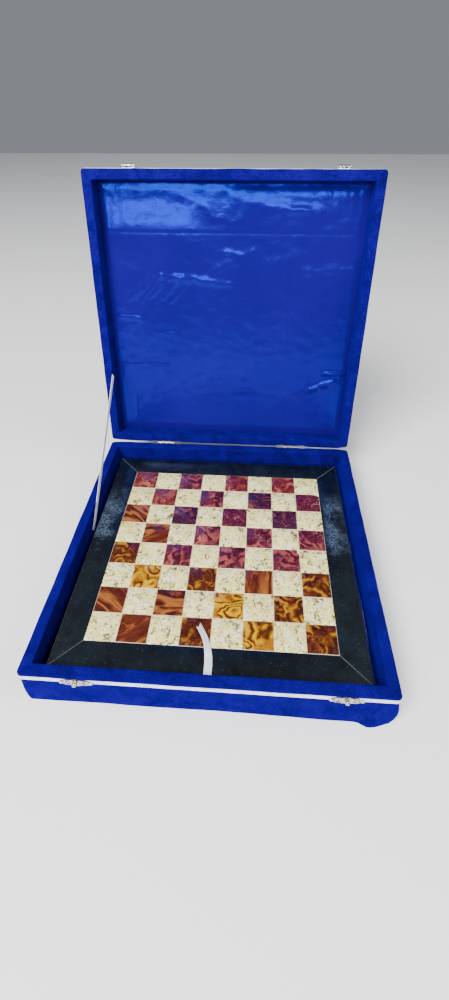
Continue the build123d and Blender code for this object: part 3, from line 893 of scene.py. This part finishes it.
lid_low = tray_rim + rim_gap
lid_cover = velvet_cover("lid_velvet_cover", lid_low, lid_low + lid_depth,
                         cavity_floor=lid_low + 20 * mm, far_margin=0.0, seed=7.7)
lid_cover.data.transform(lid_turn)
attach(lid_cover, "lid")
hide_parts("lid_velvet")
print("lid cover", len(lid_cover.data.polygons), "faces")

# %% [markdown]
# ## Satin lining
# A square of satin is glued at its edges over a card in the lid. It is slack enough to
# pillow a little and to gather in short folds, and it keeps the crease it was stored with.
# A fine grid is laid out closed, moved point by point, thickened and turned open.

# %% Satin folds
satin_half = 160.3
satin_cells = 200
satin_room = 1.3
satin_plane = (lid_low + 18 * mm) / mm
crease_y = -105.3
# Each fold: start, end, width and height in millimetres on the closed lid.
folds = [((-60, -146), (-10, -121), 7.0, 0.5),
         ((30, -138), (62, -131), 6.0, 0.6), ((72, -131), (100, -129), 5.0, 1.0),
         ((-88, -55), (-64, -53), 3.6, 0.48), ((-68, -54), (-32, -50), 5.4, 0.74),
         ((-44, -55), (-38, -62), 3.0, 0.3), ((-38, -50), (-4, -46), 4.2, 0.55),
         ((-20, -62), (20, -82), 6.0, 0.5), ((-5, -84), (9, -81), 3.0, 0.7),
         ((-145, -3), (-122, -1), 2.6, 0.6), ((-98, 17), (-76, 18), 2.5, 0.6),
         ((112, 90), (142, 80), 4.2, 1.8), ((90, 97), (120, 89), 1.8, 0.5),
         ((100, 100), (122, 92), 1.8, 0.4), ((130, 68), (158, 68), 3.0, 1.5),
         ((10, 98), (32, 97), 3.0, 0.9), ((-160, 62), (-86, 61), 1.4, 0.5),
         ((-146, 40), (-148, 86), 1.5, 0.5), ((-134, 104), (-136, 140), 1.4, 0.5),
         ((96, -62), (150, -66), 5.0, 0.5), ((52, -72), (80, -78), 5.0, 0.25),
         ((26, -88), (34, 150), 0.9, 0.25), ((70, -88), (76, 140), 0.9, 0.25)]
# Seven short pleats fan out below the long fold on the left.
for i in range(7):
    top, foot = -24 - 4 * (i % 2), -50 - 3 * (i % 3)
    folds.append(((-134 + 9.5 * i, top), (-108 + 9.5 * i, foot), 2.0, 0.45))


def fold_height(x, y, start, end, width, height):
    """A soft ridge along a line that fades at both ends."""
    along = Vector(end) - Vector(start)
    away = Vector((x, y)) - Vector(start)
    share = away.dot(along) / along.length_squared
    wander = 0.55 * width * noise.noise(Vector((x / 11, y / 11, start[0])))
    across = along.cross(away) / along.length + wander
    outside = max(-share, share - 1, 0.0) * along.length
    swell = 1 + 0.5 * noise.noise(Vector((x / 13, y / 13, end[0])))
    return height * swell * math.exp(-(across / width) ** 2 - (outside / (1.5 * width)) ** 2)


# Each billow: its two ends along X, where it starts and ends rising in Y, and its height.
billows = [(-166, -36, -143, -107, 2.6), (-6, 158, -160, -143, 1.1)]


def billow_height(x, y, left, right, start, crest, height):
    """A broad swell that rises to a crest and falls away slowly towards the hinges."""
    beyond = max(0.0, y - crest)
    span = (share_between(left - 6, left + 16, x)
            * (1 - share_between(right - 24, right + 12, x)))
    return height * span * share_between(start, crest, y) * math.exp(-(beyond / 40) ** 2)


def satin_height(x, y):
    """How far the cloth stands off its card towards the board, in millimetres."""
    edge = min(satin_half - abs(x), satin_half - abs(y))
    crown = 1.2 * min(1.0, max(edge, 0.0) / 10.0) ** 0.6
    slow = 0.4 * noise.noise(Vector((x / 62, y / 44, 0.3)))
    gather = 0.35 * noise.noise(Vector((x / 7.5, y / 46, 2.1))) * share_between(-90, -158, y)
    small = 0.22 * noise.noise(Vector((x / 16, y / 11, 4.1)))
    groove = 0.26 * math.exp(-((y - crease_y) / 1.2) ** 2)
    ridges = (sum(fold_height(x, y, *fold) for fold in folds)
              + sum(billow_height(x, y, *billow) for billow in billows))
    free = share_between(0.0, 9.0, edge)
    return crown + (slow + gather + small + ridges) * free - groove * free


print(len(folds), "folds in the satin")

# %% Satin lining
clear_selection()
bpy.ops.mesh.primitive_grid_add(x_subdivisions=satin_cells, y_subdivisions=satin_cells,
                                size=2 * satin_half * mm,
                                location=(0, 0, (satin_plane + satin_room) * mm))
satin_lining = bpy.context.object
satin_lining.name = "lid_satin"
settle(satin_lining)
for point in satin_lining.data.vertices:
    point.co.z -= satin_height(point.co.x / mm, point.co.y / mm) * mm
edit_all(satin_lining)
bpy.ops.mesh.flip_normals()
done()
apply(satin_lining, "SOLIDIFY", thickness=0.4 * mm, offset=-1)
shade(satin_lining, 60)
dress(satin_lining, satin)
satin_lining.data.transform(lid_turn)
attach(satin_lining, "lid")
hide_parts("lid_satin_lining")
print("satin", len(satin_lining.data.polygons), "faces")

# %% [markdown]
# ## Trim ribbons
# The same white ribbon is glued round the front and sides of the tray and of the lid,
# just under each rim. Its edges sink in the pile, so less of its width shows.

# %% Trim ribbons
shown = 5.4 * mm


def trim_ribbon(name, low_z, seed):
    """A band round the front and the two sides, its edges sunk in the velvet's pile."""
    half = case_side / 2 + 0.35 * mm
    obj = block(name, (-half, -half, low_z), (half, half, low_z + shown))
    round_edges(obj, 4.3 * mm, 5, upright)
    delete_faces(obj, lambda c: at_height(c[0].z)(c) or min(p.y for p in c) > half - 7 * mm)
    slice_grid(obj, (-half, -half), (half, half), 6 * mm)
    slice_along(obj, 2, steps(low_z, low_z + shown, 1.9 * mm))
    merge(obj)
    ripple(obj, 0.12 * mm, 9 * mm, seed)
    apply(obj, "SOLIDIFY", thickness=ribbon_thickness, offset=-1)
    shade(obj, 40)
    dress(obj, ribbon_cloth)
    return obj


tray_trim = trim_ribbon("tray_trim_ribbon_woven", tray_rim - 7.9 * mm, 2.0)
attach(tray_trim, "tray")
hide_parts("tray_trim_ribbon")
lid_trim = trim_ribbon("lid_trim_ribbon_woven", lid_low + 2.5 * mm, 5.0)
lid_trim.data.transform(lid_turn)
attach(lid_trim, "lid")
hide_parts("lid_trim_ribbon")
print("trim ribbons made")

# %% [markdown]
# ## Stone squares
# One tile is modelled with its eased top edges and copied to every square, because all are
# sawn to one size. The onyx comes in six colourings, named for each square as a chess player
# names it, a1 at the front left. Five corners are chipped and filled with pale resin.

# %% Stone squares
square = 31.2 * mm
joint = 0.06 * mm
board_low, board_high = (Vector(corner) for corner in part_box("light_squares"))
board_top = board_high.z
board_middle = (board_low + board_high) / 2
layout = {
    "plum": "c8 d7 h7 e6 d5 f5 h5 c4 e4 g4", "violet": "f7 c6 g6", "rose": "a8 e8 g8 b7",
    "brick": "a6 b5 a2 c2 b1 f3", "chestnut": "a4 d3 h3 g2 d1 h1", "amber": "b3 e2 f1",
}
kind_of = {spot: kind for kind, spots in layout.items() for spot in spots.split()}

# Each chipped corner: the corner's direction, and how far it is cut along X and along Y.
chips = {"h7": (1, 1, 8.0, 4.5), "g4": (1, 1, 5.0, 10.0), "c6": (1, -1, 4.0, 3.0),
         "e6": (-1, 1, 3.0, 3.0), "f5": (1, -1, 2.0, 1.5)}

tile_half = (square - joint) / 2
pattern_tile = block("tile", (-tile_half, -tile_half, board_low.z),
                     (tile_half, tile_half, board_top))
round_edges(pattern_tile, 0.4 * mm, 2, at_height(board_top))
print("one tile has", len(pattern_tile.data.polygons), "faces")


def eased(face):
    """Whether a face belongs to an eased edge: it faces up, but not straight up."""
    return 0.05 < face.normal.z < 0.999


def chip_corner(tile, right, up, reach_x, reach_y):
    """Mark a corner as broken and filled: three cuts round it, and pale resin beyond them."""
    corner = Vector((right * tile_half, up * tile_half, 0))
    cuts = []
    for share_x, share_y in ((0.62, 1.25), (1.0, 1.0), (1.25, 0.62)):
        normal = Vector((right / (share_x * reach_x), up / (share_y * reach_y), 0)) / mm
        cuts.append((corner - normal / normal.length_squared, normal.normalized()))
    cut(tile, cuts)
    for face in tile.data.polygons:
        if all(normal.dot(face.center - point) > 0 for point, normal in cuts):
            face.material_index = 2


def lay_tile(column, row, luck):
    """A copy of the tile on its square, with its own place in the stone's pattern."""
    spot = "abcdefgh"[column] + str(row + 1)
    tile = pattern_tile.copy()
    tile.data = pattern_tile.data.copy()
    bpy.context.scene.collection.objects.link(tile)
    turn = Matrix.Rotation(luck.uniform(0, 2 * math.pi), 3, "Z")
    shift = Vector((luck.uniform(-2, 2), luck.uniform(-2, 2), luck.uniform(-2, 2)))
    place = tile.data.attributes.new("stone_place", "FLOAT_VECTOR", "POINT")
    for vertex, item in zip(tile.data.vertices, place.data):
        item.vector = turn @ vertex.co + shift
    kind = kind_of.get(spot, "limestone")
    if kind == "limestone":
        dress(tile, lime, lime, chip_resin)
    else:
        dress(tile, stones[kind], joint_resin, chip_resin)
    for face in tile.data.polygons:
        face.material_index = int(eased(face))
    if spot in chips:
        chip_corner(tile, *chips[spot])
    tile.data.transform(Matrix.Translation(((column - 3.5) * square,
                                            (row - 3.5) * square + board_middle.y, 0)))
    return kind, tile


luck = random.Random(31)
sorted_tiles = {}
for row in range(8):
    for column in range(8):
        kind, tile = lay_tile(column, row, luck)
        sorted_tiles.setdefault(kind, []).append(tile)
bpy.data.objects.remove(pattern_tile)
for kind, tiles in sorted_tiles.items():
    choose(tiles[0])
    for tile in tiles:
        tile.select_set(True)
    bpy.ops.object.join()
    joined = bpy.context.object
    joined.name = kind + "_squares"
    shade(joined, 30)
    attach(joined, "board")
    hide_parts("light_squares" if kind == "limestone" else "dark_squares")
    print(joined.name, len(tiles), "tiles")

# %% [markdown]
# ## Border
# Four strips of black marble are mitred at the corners. The saw leaves the mitres pale with
# stone dust, which shows as a thin light line at each. The same pale grey on the outer rim's
# eased edge is a painted highlight.

# %% Border
board_half = 152.4 * mm
field_half = 4 * square
mitre_gap = 0.05 * mm


def border_strip(name, turn):
    """One mitred strip, shaped at the front of the board and turned into place."""
    strip_obj = block(name, (-board_half, -board_half, board_low.z),
                      (board_half, -field_half - joint, board_top))
    pick(strip_obj, "EDGE", lambda c: min(p.y for p in c) > -field_half - 2 * joint)
    bpy.ops.transform.resize(value=(field_half / board_half, 1, 1), center_override=(0, 0, 0))
    done()
    for vertex in strip_obj.data.vertices:
        vertex.co.x -= math.copysign(mitre_gap, vertex.co.x)
    round_edges(strip_obj, 0.17 * mm, 2, at_height(board_top))
    dress(strip_obj, marble, mitre_filler_and_rim_highlight)
    # Mitre faces get the pale filler; the outer rim's eased faces get the same grey as a
    # painted highlight.
    for face in strip_obj.data.polygons:
        side_on = abs(face.normal.x) > 0.3 or face.normal.y < -0.3
        face.material_index = int(eased(face) and side_on)
    strip_obj.data.transform(Matrix.Translation((0, board_middle.y, 0))
                             @ Matrix.Rotation(math.radians(turn), 4, "Z"))
    shade(strip_obj, 30)
    return strip_obj


for side, turn in (("front", 0), ("right", 90), ("back", 180), ("left", 270)):
    made = border_strip(side + "_marble_border", turn)
    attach(made, "board")
    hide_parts(side + "_border")
print("border laid")

# %% [markdown]
# ## Pad and cloths
# Under the board a foam pad is wrapped in navy cotton, and the case's underside is faced
# with the same cloth. Each is rounded and given the slight unevenness of glued cloth, on
# its upper side only, so that what rests on the floor stays flat.

# %% Pad and cloths
def cloth_slab(name, node, radius, waver, seed):
    """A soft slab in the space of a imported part, rounded, sliced and wavered."""
    low, high = (Vector(corner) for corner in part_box(node))
    inset = Vector((waver, waver, 0))
    obj = block(name, low + inset, high - inset - Vector((0, 0, waver)))
    round_edges(obj, radius, 3, lambda c: max(c[0].z, c[1].z) > low.z + radius)
    slice_grid(obj, low, high, 8 * mm)
    merge(obj)
    for point in obj.data.vertices:
        if point.co.z > low.z + 0.3 * (high.z - low.z):
            point.co.z += waver * noise.noise(point.co / (24 * mm) + Vector((seed, 0, 0)))
    shade(obj, 40)
    dress(obj, cotton)
    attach(obj, "tray")
    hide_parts(node)
    return obj


pad = cloth_slab("pad_cotton_cover", "pad_cover", 1.2 * mm, 0.4 * mm, 1.0)
base = cloth_slab("tray_base_cotton", "tray_base_cloth", 0.3 * mm, 0.1 * mm, 4.0)
lining = cloth_slab("tray_floor_cotton", "tray_floor_lining", 0.3 * mm, 0.1 * mm, 8.0)
print("pad and cloths laid")

# %% [markdown]
# ## Light and floor
# A plain pale floor and three soft lights: a broad one above the front left, a low wide one
# in front that puts the streaks on the satin, and a weak one from the right that fills the
# shadows. A dim even sky does the rest.

# %% Light and floor
clear_selection()
bpy.ops.mesh.primitive_plane_add(size=8, location=(0, 0, cad_low[2]))
floor = bpy.context.object
floor.name = "floor"
settle(floor)
floor_paint, tree, shader, _ = material("studio_floor_pale")
wire(tree, shader, {"Base Color": linear("#FAFAFA"), "Roughness": 0.6})
dress(floor, floor_paint)


def soft_light(name, place, aim, width, height, watts):
    """A rectangular area light aimed at a point."""
    data = bpy.data.lights.new(name, "AREA")
    data.shape = "RECTANGLE"
    data.size = width
    data.size_y = height
    data.energy = watts
    lamp = show(name, data)
    lamp.location = place
    lamp.rotation_euler = (Vector(aim) - Vector(place)).to_track_quat("-Z", "Y").to_euler()


soft_light("ceiling", (-1.0, -1.3, 2.1), (0, 0, 0.05), 1.3, 1.3, 132)
soft_light("window", (-0.2, -2.0, 1.15), (0, 0.24, 0.33), 1.5, 0.3, 38)
soft_light("room", (1.7, -0.4, 1.5), (0, 0, 0.05), 1.2, 1.2, 25)
world = bpy.data.worlds.new("sky")
bpy.context.scene.world = world
world.use_nodes = True
wire(world.node_tree, world.node_tree.nodes["Background"],
     {"Color": linear("#E4E9F2"), "Strength": 0.3})
print("three lights, a sky and a floor")
